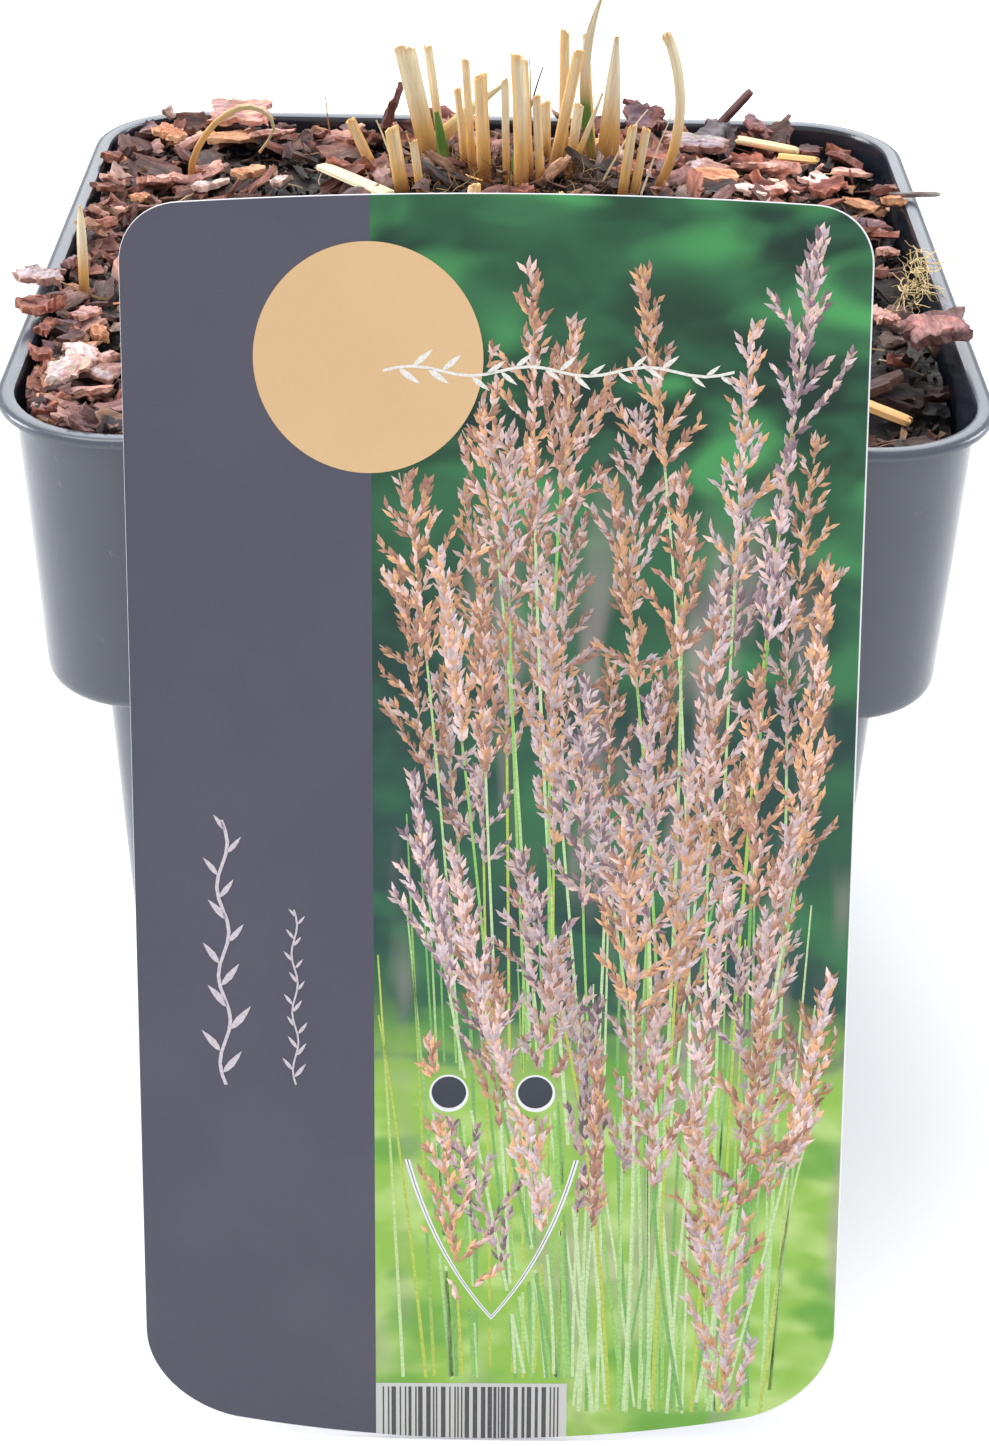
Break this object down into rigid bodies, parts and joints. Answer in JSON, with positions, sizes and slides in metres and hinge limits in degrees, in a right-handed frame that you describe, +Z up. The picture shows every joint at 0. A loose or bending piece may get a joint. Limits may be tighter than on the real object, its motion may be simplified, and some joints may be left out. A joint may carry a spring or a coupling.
{
  "type": "potted purple moor grass, cut back, with label",
  "caption": "Trimmed ornamental grass tuft in a square two-tier nursery pot with bark mulch, and a large card label leaning on its front rim.",
  "frame": {"origin": "on the ground, at the middle of the underside of the pot's base", "axes": "+Z up, -Y towards the front, where the label leans on the pot, +X to the right seen from the front"},
  "size_m": [0.1368, 0.173, 0.158],
  "materials": {
    "pot_plastic": "satin",
    "compost": "matte",
    "crown": "matte",
    "bark": "matte",
    "straw": "satin",
    "green_leaf": "satin",
    "dry_roots": "matte",
    "label_card": "satin"
  },
  "bodies": {
    "root": {"pot": "pot_plastic", "compost": "compost", "crown": "crown", "bark_mulch": "bark", "label": "label_card", "culm_1": "straw", "culm_2": "straw", "culm_3": "straw", "culm_4": "straw", "culm_5": "straw", "culm_6": "straw", "culm_7": "straw", "culm_8": "straw", "culm_9": "straw", "culm_10": "straw", "culm_11": "straw", "culm_12": "straw", "culm_13": "straw", "culm_14": "straw", "culm_15": "straw", "culm_16": "straw", "culm_17": "straw", "culm_18": "straw", "culm_19": "straw", "culm_20": "straw", "culm_21": "straw", "green_shoot_1": "green_leaf", "green_shoot_2": "green_leaf", "leaf_sheath_1": "straw", "leaf_sheath_2": "straw", "leaf_sheath_3": "straw", "leaf_sheath_4": "straw", "leaf_sheath_5": "straw", "leaf_sheath_6": "straw", "leaf_sheath_7": "straw", "leaf_sheath_8": "straw", "leaf_sheath_9": "straw", "arching_dry_blade": "straw", "straw_at_left_rim": "straw", "bark_flake_1": "bark", "bark_flake_2": "bark", "bark_flake_3": "bark", "bark_flake_4": "bark", "bark_flake_5": "bark", "bark_flake_6": "bark", "bark_flake_7": "bark", "bark_flake_8": "bark", "bark_flake_9": "bark", "bark_flake_10": "bark", "bark_flake_11": "bark", "wood_sliver_1": "straw", "wood_sliver_2": "straw", "cut_leaf": "straw", "cut_straw": "straw", "twig": "bark", "bark_splinter": "bark", "root_tuft": "dry_roots"}
  },
  "joints": []
}
